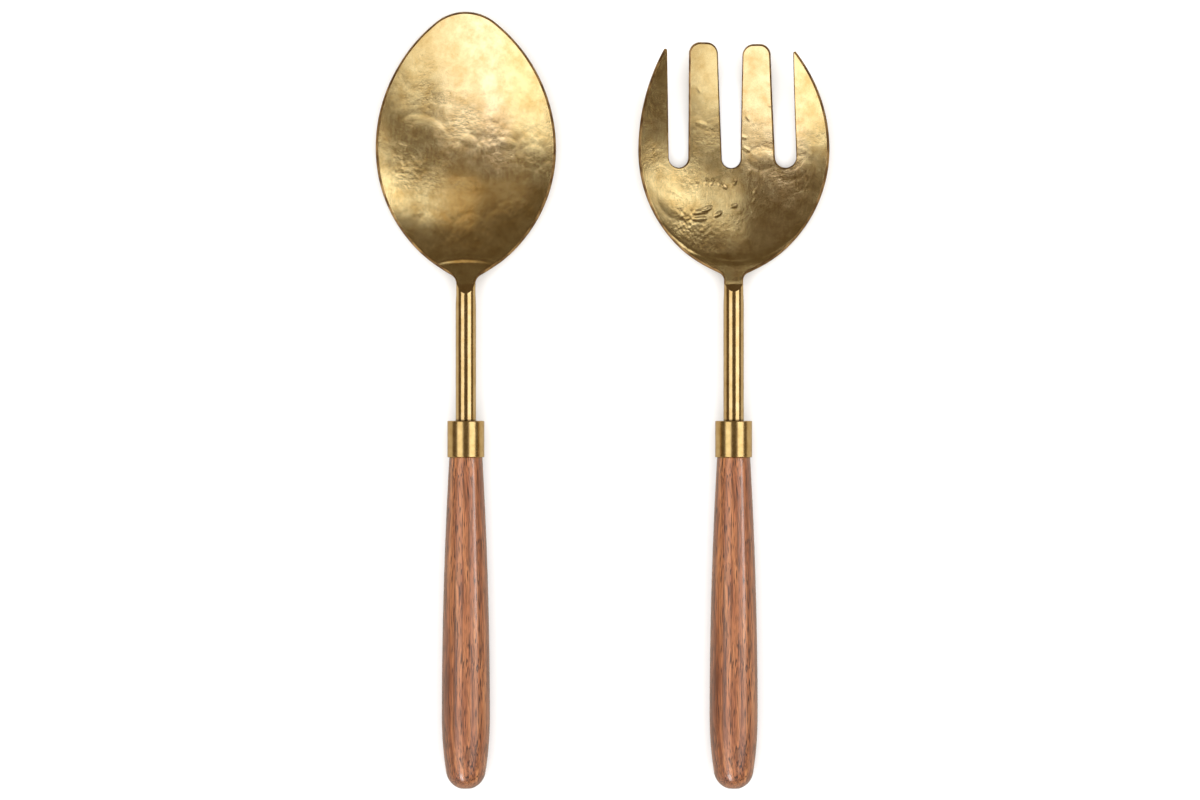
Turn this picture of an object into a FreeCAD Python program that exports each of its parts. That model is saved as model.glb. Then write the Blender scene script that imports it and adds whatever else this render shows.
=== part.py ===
import FreeCAD, Part
import math
import os
from types import SimpleNamespace

import Sketcher

# A pair of salad servers, a spoon and a fork, lying face up side by side on a table.
# Each server is a turned wooden handle, a ferrule, a round stem whose grooved tang is glued into the handle,
# and a dished head of sheet metal that is brazed onto the slanting end of the stem.
# The frame: +X to the right, +Y towards the heads, +Z up, with the origin at the middle of the pair's
# footprint on the table. Each body's own origin is on its server's axis, and its Placement puts it in place.
# All lengths are in millimetres and all angles in degrees.

SIZES = {
    # the pair
    "set_spacing": 105.2,  # from the spoon's axis to the fork's
    # the turned handle
    "handle_length": 130.0,  # from the butt to the ferrule
    "handle_belly_d": 18.9,
    "handle_belly_at": 28.0,  # from the butt
    "handle_neck_d": 13.0,
    "handle_nose_radius": 7.8,
    "butt_flat_d": 5.0,  # where the lathe's centre was sanded off
    "tenon_d": 11.4,
    "tenon_length": 12.2,
    "tenon_chamfer": 0.5,
    "bore_depth": 66.0,  # from the tenon's end
    "drill_point": 2.0,  # depth of the cone that the drill leaves
    # the ferrule, a cup with a hole in its cap
    "ferrule_length": 14.3,
    "ferrule_d": 14.5,
    "ferrule_cap": 1.6,
    "ferrule_chamfer": 0.35,
    "ferrule_fit": 0.05,  # radial clearance on the tenon and on the stem
    # the stem and its tang
    "stem_d": 8.0,
    "stem_shown": 53.7,  # from the ferrule to the head's tail
    "neck_narrowing": 0.25,  # of each flank of the stem, to the width of the head's neck
    "neck_taper": 5.0,  # over this length
    "shoulder": 1.0,  # how far the stem stands out from its tang, on the tenon's end
    "tang_length": 62.0,
    "groove_depth": 0.5,
    "groove_width": 2.0,
    "groove_pitch": 12.0,
    "groove_from_end": 8.0,
    "glue_gap": 0.4,  # between the tang and the bore
    "braze_leg": 1.0,
    "braze_from_tail": 4.0,
    # the heads' sheet
    "sheet_thickness": 1.6,
    "seat_drop": 2.0,  # from the stem's top to the face of the head's tail
    "crease_edge_radius": 2.0,  # the blank's tightest bend, at its raised edges
    "blank_margin": 3.0,  # how far the dished blank reaches past the outline
    # the spoon's head, with lengths from its tail
    "spoon_length": 107.0,
    "spoon_width": 71.6,
    "spoon_widest_at": 53.3,
    "spoon_tip_radius": 19.0,
    "spoon_side_radius": 56.5,  # of the outline, from the neck to the widest point
    "spoon_neck_fillet": 4.0,
    "spoon_neck_slope": 28.0,
    "spoon_crease_at": 6.0,
    "spoon_heel_radius": 110.0,  # of the dish, from the crease down to the table
    "spoon_toe_radius": 160.0,  # of the dish, from the table up to the tip
    "spoon_cross_radius": 75.0,
    # the fork's head, with lengths from its tail
    "fork_length": 95.2,
    "fork_width": 75.8,
    "fork_widest_at": 52.5,
    "fork_left_toe_side": 82.0,  # radii of the outline, from the widest point to the outer tips
    "fork_right_toe_side": 63.0,
    "fork_outer_tip_at": 91.7,
    "fork_side_radius": 52.5,
    "fork_neck_fillet": 3.3,
    "fork_neck_slope": 34.0,
    "fork_crease_at": 6.0,
    "fork_heel_radius": 100.0,
    "fork_toe_radius": 150.0,
    "fork_cross_radius": 72.0,
    "tine_corner_radius": 2.6,
    "right_tine_short": 0.7,  # the right inner tine ends this much lower than the left
    # the fork's slots: where they are across the head, and how wide, at the root and at the tips
    "slot_root_at": 46.1,
    "left_slot_root": -21.9,
    "left_slot_root_width": 8.1,
    "left_slot_mouth": -22.2,
    "left_slot_mouth_width": 8.9,
    "middle_slot_root": -0.7,
    "middle_slot_root_width": 7.6,
    "middle_slot_mouth": -1.4,
    "middle_slot_mouth_width": 9.9,
    "right_slot_root": 21.0,
    "right_slot_root_width": 8.5,
    "right_slot_mouth": 19.1,
    "right_slot_mouth_width": 9.0,
}
GROOVES = 4
OVERRUN = 2.0  # how far cutters and blanks reach past what they cut

DOC = FreeCAD.newDocument("salad_servers")


class Formula:
    """A number and the formula it came from: drawing uses the number, and constraints follow the text."""

    def __init__(self, number, text):
        self.number, self.text = float(number), text

    def __add__(self, other):
        return joined(self, "+", other, lambda a, b: a + b)

    def __radd__(self, other):
        return joined(other, "+", self, lambda a, b: a + b)

    def __sub__(self, other):
        return joined(self, "-", other, lambda a, b: a - b)

    def __rsub__(self, other):
        return joined(other, "-", self, lambda a, b: a - b)

    def __mul__(self, other):
        return joined(self, "*", other, lambda a, b: a * b)

    def __rmul__(self, other):
        return joined(other, "*", self, lambda a, b: a * b)

    def __truediv__(self, other):
        return joined(self, "/", other, lambda a, b: a / b)

    def __neg__(self):
        return Formula(-self.number, f"(-1 * {self.text})")


def as_formula(thing):
    return thing if isinstance(thing, Formula) else Formula(thing, f"({thing})" if thing < 0 else str(thing))


def joined(left, sign, right, work):
    left, right = as_formula(left), as_formula(right)
    return Formula(work(left.number, right.number), f"({left.text} {sign} {right.text})")


def square(thing):
    return thing * thing


def root(thing):
    return Formula(math.sqrt(thing.number), f"sqrt({thing.text})")


def sin(angle):
    return Formula(math.sin(math.radians(angle.number)), f"sin({angle.text})")


def cos(angle):
    return Formula(math.cos(math.radians(angle.number)), f"cos({angle.text})")


def tan(angle):
    return Formula(math.tan(math.radians(angle.number)), f"tan({angle.text})")


def larger(one, other):
    return Formula(max(one.number, other.number), f"max({one.text}; {other.text})")


def make_sheet():
    """The spreadsheet that drives every sketch: names in column A, aliased numbers in column B."""
    sheet = DOC.addObject("Spreadsheet::Sheet", "Sizes")
    for row, (name, number) in enumerate(SIZES.items(), start=1):
        sheet.set(f"A{row}", name)
        sheet.set(f"B{row}", str(number))
        sheet.setAlias(f"B{row}", name)
    DOC.recompute()
    return SimpleNamespace(**{name: Formula(getattr(sheet, name), f"Sizes.{name}") for name in SIZES})


size = make_sheet()


def server_sizes(server):
    """The sheet's sizes for one head, without the server's name in front."""
    start = server + "_"
    return SimpleNamespace(**{n[len(start):]: f for n, f in vars(size).items() if n.startswith(start)})


# Places that more than one piece uses. Each server's own frame starts at its butt, on its axis.

STEM_R = size.stem_d / 2
NECK_HALF = STEM_R - size.neck_narrowing
TANG_R = STEM_R - size.shoulder
BORE_R = TANG_R + size.glue_gap
SHOULDER_AT = size.handle_length + size.tenon_length
TAIL_AT = size.handle_length + size.ferrule_length + size.stem_shown
AXIS_Z = size.handle_belly_d / 2
MIDDLE_Y = (TAIL_AT + larger(size.spoon_length, size.fork_length)) / 2
SPOON_X = -(size.set_spacing + (size.fork_width - size.spoon_width) / 2) / 2
AXIS_X = {"spoon": SPOON_X, "fork": SPOON_X + size.set_spacing}


def bind(made, prop, thing):
    made.setExpression(prop, thing.text)


def new_body(label, server, along):
    """A body whose origin is on a server's axis, so far from the butt."""
    body = DOC.addObject("PartDesign::Body", label)
    body.Label = label
    bind(body, "Placement.Base.x", AXIS_X[server])
    bind(body, "Placement.Base.y", along - MIDDLE_Y)
    bind(body, "Placement.Base.z", AXIS_Z)
    return body


def new_sketch(body, plane, name):
    """A sketch on one of its body's origin planes."""
    sketch = body.newObject("Sketcher::SketchObject", f"{body.Name}_{name}")
    origin_plane = next(o for o in body.Origin.OriginFeatures if o.Role == plane)
    sketch.AttachmentSupport = [(origin_plane, "")]
    sketch.MapMode = "FlatFace"
    return sketch


def constrain(sketch, kind, refs, thing):
    """Adds a constraint that follows a formula."""
    thing = as_formula(thing)
    index = sketch.addConstraint(Sketcher.Constraint(kind, *refs, thing.number))
    bind(sketch, f"Constraints[{index}]", thing)


def arc_through(start, end, radius):
    """The short arc from start to end. It turns left for a positive radius and right for a negative one."""
    chord = end - start
    height = math.sqrt(max(radius**2 - chord.Length**2 / 4, 0.0))
    left = FreeCAD.Vector(-chord.y, chord.x, 0).normalize()
    bulge = left * math.copysign(abs(radius) - height, -radius)
    return Part.Arc(start, (start + end) / 2 + bulge, end)


def draw(sketch, corners, closed=True):
    """Draws a run of lines and arcs from corner to corner. An arc leads on from (x, y, radius): a positive
    radius turns left, a negative one right, and "half" is a half round, leftwards, between level corners."""
    corners = [tuple(c if c == "half" else as_formula(c) for c in corner) for corner in corners]
    first = sketch.GeometryCount
    spans = len(corners) if closed else len(corners) - 1
    ends = []  # each span's start and end as the sketcher numbers them: it keeps every arc turning left
    for n in range(spans):
        here, there = corners[n], corners[(n + 1) % len(corners)]
        start, end = (FreeCAD.Vector(c[0].number, c[1].number, 0) for c in (here, there))
        rightwards = False
        if len(here) == 2:
            sketch.addGeometry(Part.LineSegment(start, end), False)
        elif here[2] == "half":
            sketch.addGeometry(arc_through(start, end, (end - start).Length / 2), False)
        else:
            sketch.addGeometry(arc_through(start, end, here[2].number), False)
            rightwards = here[2].number < 0
        ends.append((2, 1) if rightwards else (1, 2))
    for n in range(spans):
        x, y, *radius = corners[n]
        constrain(sketch, "DistanceX", (first + n, ends[n][0]), x)
        constrain(sketch, "DistanceY", (first + n, ends[n][0]), y)
        if closed or n + 1 < spans:
            after = (n + 1) % spans
            joint = Sketcher.Constraint("Coincident", first + n, ends[n][1], first + after, ends[after][0])
            sketch.addConstraint(joint)
        if radius == ["half"]:
            constrain(sketch, "DistanceY", (first + n, 3), y)
        elif radius:
            constrain(sketch, "Radius", (first + n,), radius[0] if radius[0].number > 0 else -radius[0])
    if not closed:
        constrain(sketch, "DistanceX", (first + spans - 1, ends[-1][1]), corners[-1][0])
        constrain(sketch, "DistanceY", (first + spans - 1, ends[-1][1]), corners[-1][1])
    if not sketch.FullyConstrained:
        raise RuntimeError(f"{sketch.Name} isn't fully constrained")


def turn(body, profile, kind="PartDesign::Revolution"):
    """Turns a profile on the XY plane round the server's axis: a Revolution adds and a Groove cuts."""
    turned = body.newObject(kind, f"{profile.Name}_turned")
    turned.Profile = profile
    turned.ReferenceAxis = (profile, ["V_Axis"])
    turned.Angle = 360
    DOC.recompute()
    return turned


def cut_through(body, outline):
    """Cuts a sketch's shape through the whole body, to both sides of the sketch."""
    before = body.Shape.Volume
    pocket = body.newObject("PartDesign::Pocket", f"{outline.Name}_cut")
    pocket.Profile = outline
    pocket.Type = "ThroughAll"
    pocket.Midplane = True
    DOC.recompute()
    if body.Shape.Volume > before - 0.01:
        raise RuntimeError(f"{pocket.Name} cuts nothing")


def cut_away(label, base, tool):
    """What is left of one piece where another one fits into it."""
    cut = DOC.addObject("Part::Cut", label)
    cut.Label = label
    cut.Base, cut.Tool = base, tool
    return cut


# The handle: turned from one piece of wood, with a tenon for the ferrule and a blind bore for the tang.


def make_handle(server):
    body = new_body(f"{server}_handle", server, as_formula(0))
    belly_r, nose_r = size.handle_belly_d / 2, size.handle_nose_radius
    butt_r, tenon_r, neck_r = size.butt_flat_d / 2, size.tenon_d / 2, size.handle_neck_d / 2
    # A nose arc, an end arc and a long side arc run tangent to each other from the butt to the neck.
    nose_at = root(square(nose_r) - square(butt_r))
    run, widen = size.handle_belly_at - nose_at, belly_r - nose_r
    end_radius = (square(run) + square(belly_r) - square(nose_r)) / (2 * widen)
    share = nose_r / (end_radius - nose_r)
    shank, taper = size.handle_length - size.handle_belly_at, belly_r - neck_r
    side_radius = (square(shank) + square(taper)) / (2 * taper)
    profile = new_sketch(body, "XY_Plane", "profile")
    draw(
        profile,
        [
            (0, 0),
            (butt_r, 0, nose_r),
            (share * (end_radius - belly_r), nose_at - share * run, end_radius),
            (belly_r, size.handle_belly_at, side_radius),
            (neck_r, size.handle_length),
            (tenon_r, size.handle_length),
            (tenon_r, SHOULDER_AT - size.tenon_chamfer),
            (tenon_r - size.tenon_chamfer, SHOULDER_AT),
            (BORE_R, SHOULDER_AT),
            (BORE_R, SHOULDER_AT - size.bore_depth),
            (0, SHOULDER_AT - size.bore_depth - size.drill_point),
        ],
    )
    turn(body, profile)
    return body


# The ferrule: a turned cup over the tenon. Its cap has a hole for the stem, and its edges are broken.


def make_ferrule(server):
    body = new_body(f"{server}_ferrule", server, size.handle_length)
    cup_r, outer_r = size.tenon_d / 2 + size.ferrule_fit, size.ferrule_d / 2
    hole_r, top, edge = STEM_R + size.ferrule_fit, size.ferrule_length, size.ferrule_chamfer
    profile = new_sketch(body, "XY_Plane", "profile")
    draw(
        profile,
        [
            (cup_r, 0),
            (outer_r - edge, 0),
            (outer_r, edge),
            (outer_r, top - edge),
            (outer_r - edge, top),
            (hole_r + edge, top),
            (hole_r, top - edge),
            (hole_r, top - size.ferrule_cap),
            (cup_r, top - size.ferrule_cap),
        ],
    )
    turn(body, profile)
    return body


# The stem: a round rod whose shoulder stands on the tenon. Its thinner tang has grooves that key the glue.
# Its other end is cut to a slanting seat for the head, and a slanting face leads down to the head's face.


def seat_height(head):
    """How high the head's underside is at its tail, above the stem's axis."""
    return STEM_R - size.seat_drop - size.sheet_thickness / cos(head.neck_slope)


def make_stem(server):
    body, head = new_body(f"{server}_stem", server, SHOULDER_AT), server_sizes(server)
    tail, slope = TAIL_AT - SHOULDER_AT, tan(head.neck_slope)
    seat = seat_height(head)
    end = tail + (seat + STEM_R) / slope
    groove_r, tang_end = TANG_R - size.groove_depth, -size.tang_length

    profile = new_sketch(body, "XY_Plane", "profile")
    draw(
        profile,
        [
            (0, tang_end),
            (groove_r, tang_end),
            (TANG_R, tang_end + size.groove_depth),
            (TANG_R, 0),
            (STEM_R, 0),
            (STEM_R, end),
            (0, end),
        ],
    )
    turn(body, profile)

    groove = new_sketch(body, "XY_Plane", "groove")
    low = tang_end + size.groove_from_end
    high = low + size.groove_width
    draw(groove, [(groove_r, low), (TANG_R + OVERRUN, low), (TANG_R + OVERRUN, high), (groove_r, high)])
    first_groove = turn(body, groove, "PartDesign::Groove")
    grooves = body.newObject("PartDesign::LinearPattern", f"{server}_grooves")
    grooves.Originals = [first_groove]
    grooves.Direction = (groove, ["V_Axis"])
    grooves.Occurrences = GROOVES
    bind(grooves, "Length", size.groove_pitch * (GROOVES - 1))
    body.Tip = grooves
    DOC.recompute()

    scarf = new_sketch(body, "YZ_Plane", "scarf")
    above, past = STEM_R + OVERRUN, end + OVERRUN
    draw(
        scarf,
        [
            (tail - (size.seat_drop + OVERRUN) / slope, above),
            (tail, STEM_R - size.seat_drop),
            (tail, seat),
            (past, seat - (past - tail) * slope),
            (past, above),
        ],
    )
    cut_through(body, scarf)

    flanks = new_sketch(body, "XY_Plane", "flanks")
    narrow_at = tail - size.seat_drop / slope
    wide_at = narrow_at - size.neck_taper
    for side in (1, -1):
        edge, neck, out = side * STEM_R, side * NECK_HALF, side * above
        draw(flanks, [(edge, wide_at), (neck, narrow_at), (neck, past), (out, past), (out, wide_at)])
    cut_through(body, flanks)
    return body


# The heads: a sheet blank is dished along a spine, then stamped to its outline. Lengths run from the tail.


def make_blank(body, head):
    """Sweeps the blank's curved section along a spine under it: a straight neck, a crease, a long heel down
    to the table, and a toe that rises to the tip."""
    slope, thickness, cross = head.neck_slope, size.sheet_thickness, head.cross_radius
    half, seat = head.width / 2 + size.blank_margin, seat_height(head)
    edge_low = cross - root(square(cross) - square(half))
    edge_high = cross - root(square(cross - thickness) - square(half))
    crease = edge_high + size.crease_edge_radius  # so that the raised edges, inside the bend, clear it
    crease_z = seat - head.crease_at * tan(slope)
    cos_heel = 1 - (crease_z + AXIS_Z - crease * (1 - cos(slope))) / (head.heel_radius - crease)
    sin_heel = root(1 - square(cos_heel))
    heel_at = head.crease_at + crease * (sin(slope) - sin_heel)
    heel_z = crease_z + crease * (cos(slope) - cos_heel)
    low_at = heel_at + head.heel_radius * sin_heel
    end_at = head.length + size.blank_margin
    end_z = head.toe_radius - AXIS_Z - root(square(head.toe_radius) - square(end_at - low_at))
    start_z = seat + OVERRUN * tan(slope)

    spine = new_sketch(body, "YZ_Plane", "spine")
    draw(
        spine,
        [
            (-OVERRUN, start_z),
            (head.crease_at, crease_z, crease),
            (heel_at, heel_z, head.heel_radius),
            (low_at, -AXIS_Z, head.toe_radius),
            (end_at, end_z),
        ],
        closed=False,
    )
    section = new_sketch(body, "XZ_Plane", "section")
    section.AttachmentOffset = FreeCAD.Placement(
        FreeCAD.Vector(0, 0, OVERRUN), FreeCAD.Rotation(FreeCAD.Vector(-1, 0, 0), slope.number)
    )
    bind(section, "AttachmentOffset.Base.y", start_z)
    bind(section, "AttachmentOffset.Rotation.Angle", slope)
    draw(
        section,
        [
            (-half, edge_low, cross),
            (half, edge_low),
            (half, edge_high, thickness - cross),
            (-half, edge_high),
        ],
    )
    DOC.recompute()
    blank = body.newObject("PartDesign::AdditivePipe", f"{body.Name}_blank")
    blank.Profile = section
    blank.Spine = spine
    blank.Mode = "Binormal"
    blank.Binormal = FreeCAD.Vector(1, 0, 0)
    blank.Transition = "Right corner"
    DOC.recompute()


def outline_side(head, toe_side, tip, side):
    """One side of a head's outline from its tail to its tip: a straight neck, a hollow fillet, an arc out to
    the widest point and another one in. side is 1 for +X and -1 for -X."""
    half, heel, fillet = head.width / 2, head.side_radius, head.neck_fillet
    across = NECK_HALF + fillet + heel - half
    fillet_at = head.widest_at - root(square(heel + fillet) - square(across))
    share = heel / (heel + fillet)
    return [
        (side * NECK_HALF, 0),
        (side * NECK_HALF, fillet_at, -side * fillet),
        (
            side * (half - heel + share * across),
            head.widest_at + share * (fillet_at - head.widest_at),
            side * heel,
        ),
        (side * half, head.widest_at, side * toe_side),
        tip,
    ]


def backwards(corners):
    """The same run from its end to its start. Each arc moves to the corner that it now leads on from."""
    radii = [corner[2:] for corner in corners]
    turned = []
    for n in range(len(corners) - 1, -1, -1):
        radius = tuple(-r for r in radii[n - 1]) if n > 0 else ()
        turned.append(tuple(corners[n][:2]) + radius)
    return turned


def stamp(body, head, outline):
    """Cuts away the blank outside an outline."""
    out = head.width / 2 + size.blank_margin + OVERRUN
    far = head.length + size.blank_margin + OVERRUN
    sketch = new_sketch(body, "XY_Plane", "outline")
    draw(sketch, [(-out, -2 * OVERRUN), (out, -2 * OVERRUN), (out, far), (-out, far)])
    draw(sketch, outline)
    cut_through(body, sketch)


def make_spoon_head():
    body, head = new_body("spoon_head", "spoon", TAIL_AT), server_sizes("spoon")
    make_blank(body, head)
    # The toe's arc runs from the widest point into the tip's arc.
    half, tip = head.width / 2, head.tip_radius
    run = head.length - tip - head.widest_at
    toe_side = (square(run) + square(half) - square(tip)) / (2 * (half - tip))
    share = tip / (toe_side - tip)
    tip_x, tip_y = share * (toe_side - half), head.length - tip + share * run
    right = outline_side(head, toe_side, (tip_x, tip_y, tip), 1)
    left = outline_side(head, toe_side, (-tip_x, tip_y), -1)
    stamp(body, head, right + backwards(left))
    return body


def make_fork_head():
    body, head = new_body("fork_head", "fork", TAIL_AT), server_sizes("fork")
    make_blank(body, head)
    rise = head.outer_tip_at - head.widest_at
    tips = {}
    for side, toe_side in ((1, head.right_toe_side), (-1, head.left_toe_side)):
        tip_x = head.width / 2 - toe_side + root(square(toe_side) - square(rise))
        tips[side] = (side * tip_x, head.outer_tip_at)
    right = outline_side(head, head.right_toe_side, tips[1], 1)
    left = outline_side(head, head.left_toe_side, tips[-1], -1)
    low = head.length - size.right_tine_short
    ends = [
        (size.right_slot_mouth, head.outer_tip_at),
        (size.right_slot_mouth, low),
        (size.middle_slot_mouth, low),
        (size.middle_slot_mouth, head.length),
        (size.left_slot_mouth, head.length),
        (size.left_slot_mouth, head.outer_tip_at),
    ]
    stamp(body, head, right + ends + backwards(left))
    for slot in ("left", "middle", "right"):
        cut_slot(body, head, slot)
    round_tines(body, head)
    return body


def slot_side(head, slot, side, along):
    """How far across a slot's side is, so far from the tail: a straight line from the root to the tips."""
    root_at, root_width, mouth_at, mouth_width = (
        getattr(size, f"{slot}_slot_{name}") for name in ("root", "root_width", "mouth", "mouth_width")
    )
    start = size.slot_root_at + root_width / 2
    low, high = root_at + side * root_width / 2, mouth_at + side * mouth_width / 2
    return low + (high - low) * (along - start) / (head.outer_tip_at - start)


def cut_slot(body, head, slot):
    """A tapered slot with a half-round root, open past the tips."""
    start = size.slot_root_at + getattr(size, f"{slot}_slot_root_width") / 2
    far = head.length + OVERRUN
    sketch = new_sketch(body, "XY_Plane", f"{slot}_slot")
    left_start, right_start = (slot_side(head, slot, side, start) for side in (-1, 1))
    left_far, right_far = (slot_side(head, slot, side, far) for side in (-1, 1))
    draw(sketch, [(left_start, start, "half"), (right_start, start), (right_far, far), (left_far, far)])
    cut_through(body, sketch)


def round_tines(body, head):
    """Rounds the upright edges at the blunt ends of the two inner tines."""
    low = head.length - size.right_tine_short
    corners = [(slot_side(head, "left", 1, head.length), head.length)]
    corners.append((slot_side(head, "middle", -1, head.length), head.length))
    corners.append((slot_side(head, "middle", 1, low), low))
    corners.append((slot_side(head, "right", -1, low), low))
    tip = body.Tip
    picked = []
    for number, edge in enumerate(tip.Shape.Edges, start=1):
        box = edge.BoundBox
        for x, y in corners:
            across, along = (box.XMin, box.XMax), (box.YMin, box.YMax)
            off = [abs(a - x.number) for a in across] + [abs(a - y.number) for a in along]
            if max(off) < 1e-3:
                picked.append(f"Edge{number}")
    if len(picked) != len(corners):
        raise RuntimeError(f"found {len(picked)} of the inner tines' {len(corners)} corners")
    rounding = body.newObject("PartDesign::Fillet", "fork_tine_rounding")
    rounding.Base = (tip, picked)
    bind(rounding, "Radius", size.tine_corner_radius)
    DOC.recompute()


# The braze: a fillet of filler metal round the stem's slanting end, under the head's neck.


def make_braze(server, stem, head_body):
    """A slanting slice of a round collar, parallel to the seat, less the stem and the head."""
    body, head = new_body(f"{server}_braze_collar", server, TAIL_AT), server_sizes(server)
    slope, seat = head.neck_slope, seat_height(head)
    leg, collar_r = size.braze_leg, STEM_R + size.braze_leg
    top, bottom = seat + size.sheet_thickness / 2 / cos(slope), seat - leg / cos(slope)
    start, far = size.braze_from_tail, 3 * size.stem_d
    profile = new_sketch(body, "XY_Plane", "profile")
    draw(profile, [(0, start), (collar_r, start), (collar_r, far), (0, far)])
    turn(body, profile)
    slant = new_sketch(body, "YZ_Plane", "slant")
    above, below, fall = collar_r + OVERRUN, -collar_r - far * tan(slope), tan(slope)
    past = far + OVERRUN
    draw(slant, [(start, top - start * fall), (past, top - past * fall), (past, above), (start, above)])
    draw(slant, [(start, below), (past, below), (past, bottom - past * fall), (start, bottom - start * fall)])
    cut_through(body, slant)
    bare = cut_away(f"{server}_braze_round_stem", body, stem)
    return cut_away(f"{server}_braze", bare, head_body)


# The glue: it fills what the tang leaves of the bore.


def make_glue(server, stem):
    body = new_body(f"{server}_bore_fill", server, SHOULDER_AT)
    profile = new_sketch(body, "XY_Plane", "profile")
    deep = -size.bore_depth
    draw(profile, [(0, deep - size.drill_point), (BORE_R, deep), (BORE_R, 0), (0, 0)])
    turn(body, profile)
    return cut_away(f"{server}_tang_glue", body, stem)


def make_server(server, head):
    stem = make_stem(server)
    braze, ferrule = make_braze(server, stem, head), make_ferrule(server)
    return [head, stem, braze, ferrule, make_handle(server), make_glue(server, stem)]


def export(pieces):
    """Stops if any object failed or any piece isn't one sound solid, then writes a STEP file for each."""
    DOC.recompute()
    for made in DOC.Objects:
        if any(word in made.State for word in ("Invalid", "Error")):
            raise RuntimeError(f"{made.Name} failed: {made.State}")
    for piece in pieces:
        shape = piece.Shape
        if shape.isNull() or not shape.isValid() or len(shape.Solids) != 1:
            raise RuntimeError(f"{piece.Label} isn't one valid solid")
    os.makedirs("parts", exist_ok=True)
    for piece in pieces:
        piece.Shape.exportStep(f"parts/{piece.Label}.step")
        box = piece.Shape.BoundBox
        print(
            f"{piece.Label}: {piece.Shape.Volume:.1f} mm3, x {box.XMin:.2f} to {box.XMax:.2f}, "
            f"y {box.YMin:.2f} to {box.YMax:.2f}, z {box.ZMin:.3f} to {box.ZMax:.3f}"
        )


export(make_server("spoon", make_spoon_head()) + make_server("fork", make_fork_head()))
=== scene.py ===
import math

import bmesh
import bpy
import numpy as np
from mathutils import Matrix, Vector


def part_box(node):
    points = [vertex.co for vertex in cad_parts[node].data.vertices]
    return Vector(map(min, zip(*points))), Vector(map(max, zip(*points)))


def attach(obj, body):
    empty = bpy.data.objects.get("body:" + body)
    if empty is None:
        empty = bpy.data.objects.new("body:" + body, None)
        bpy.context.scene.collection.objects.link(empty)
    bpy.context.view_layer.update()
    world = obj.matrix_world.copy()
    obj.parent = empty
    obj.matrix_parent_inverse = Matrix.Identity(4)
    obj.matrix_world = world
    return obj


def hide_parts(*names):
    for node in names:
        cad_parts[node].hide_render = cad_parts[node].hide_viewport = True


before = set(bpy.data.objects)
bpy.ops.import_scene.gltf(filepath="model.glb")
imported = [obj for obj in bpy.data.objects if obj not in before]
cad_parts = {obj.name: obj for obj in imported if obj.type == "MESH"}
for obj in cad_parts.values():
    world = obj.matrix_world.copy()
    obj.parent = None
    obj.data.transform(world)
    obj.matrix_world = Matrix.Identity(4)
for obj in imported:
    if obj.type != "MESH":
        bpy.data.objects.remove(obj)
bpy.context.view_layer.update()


# ---------------------------------------------------------------------------------------------------------
# The spoon's head: a bowl of 1.6 mm sheet brass, cut to an oval, dished over a block with a planishing
# hammer, scrubbed bright and left with its hammer marks. A crease runs across it where the neck drops to
# the stem. Lengths are in mm, x from the server's axis, y from the head's tail and z from the table.
# ---------------------------------------------------------------------------------------------------------

MM = 0.001
SHEET = 1.6
EDGE_ROUND = 0.5  # the edges are broken with a file to this radius
NECK_HALF = 3.75
GRID = 0.45  # the spacing of the meshes' points


def server_origin(server):
    """A server's axis (x and z) and its butt and head's tail (y), in mm, as the CAD has them."""
    low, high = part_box(f"{server}_ferrule")
    axis = (low + high) / 2 / MM
    return axis.x, axis.z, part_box(f"{server}_handle")[0].y / MM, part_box(f"{server}_head")[0].y / MM


def arc(centre, radius, start, end, steps=120):
    """Points along a circle's arc, between two angles in degrees."""
    turn = np.radians(np.linspace(start, end, steps))
    return np.stack([centre[0] + radius * np.cos(turn), centre[1] + radius * np.sin(turn)], axis=1)


def spread(line, count):
    """The same line as count points, evenly spaced along it."""
    steps = np.linalg.norm(np.diff(line, axis=0), axis=1)
    run = np.concatenate([[0], np.cumsum(steps)])
    even = np.linspace(0, run[-1], count)
    return np.stack([np.interp(even, run, line[:, k]) for k in range(line.shape[1])], axis=1)


def mirrored(line):
    """A plan line on the other side of the server's axis."""
    return line * (-1, 1)


def coons(start, end, left, right):
    """A grid of points between four plan lines that meet at their corners: each pair of opposite lines is
    blended straight across, the two blends are added, and the corners' own blend is taken away."""
    u, v = np.linspace(0, 1, len(start))[None, :, None], np.linspace(0, 1, len(left))[:, None, None]
    across = (1 - v) * start[None] + v * end[None]
    along = (1 - u) * left[:, None] + u * right[:, None]
    corners = (1 - v) * ((1 - u) * start[0] + u * start[-1]) + v * ((1 - u) * end[0] + u * end[-1])
    return across + along - corners


def neck_and_heel(width, widest_at, side_radius, fillet, inset):
    """The +X outline from the tail to the widest point: a straight neck, a hollow fillet and an arc that
    are tangent to each other, all moved in by inset."""
    centre = (width / 2 - side_radius, widest_at)
    across = NECK_HALF + fillet - centre[0]
    rise = math.sqrt((side_radius + fillet) ** 2 - across**2)
    meet = math.degrees(math.atan2(-rise, across))
    hollow = arc((NECK_HALF + fillet, widest_at - rise), fillet + inset, 180, 180 + meet)
    return np.concatenate(
        [[(NECK_HALF - inset, 0)], hollow[hollow[:, 1] > 0], arc(centre, side_radius - inset, meet, 0)]
    )


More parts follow.
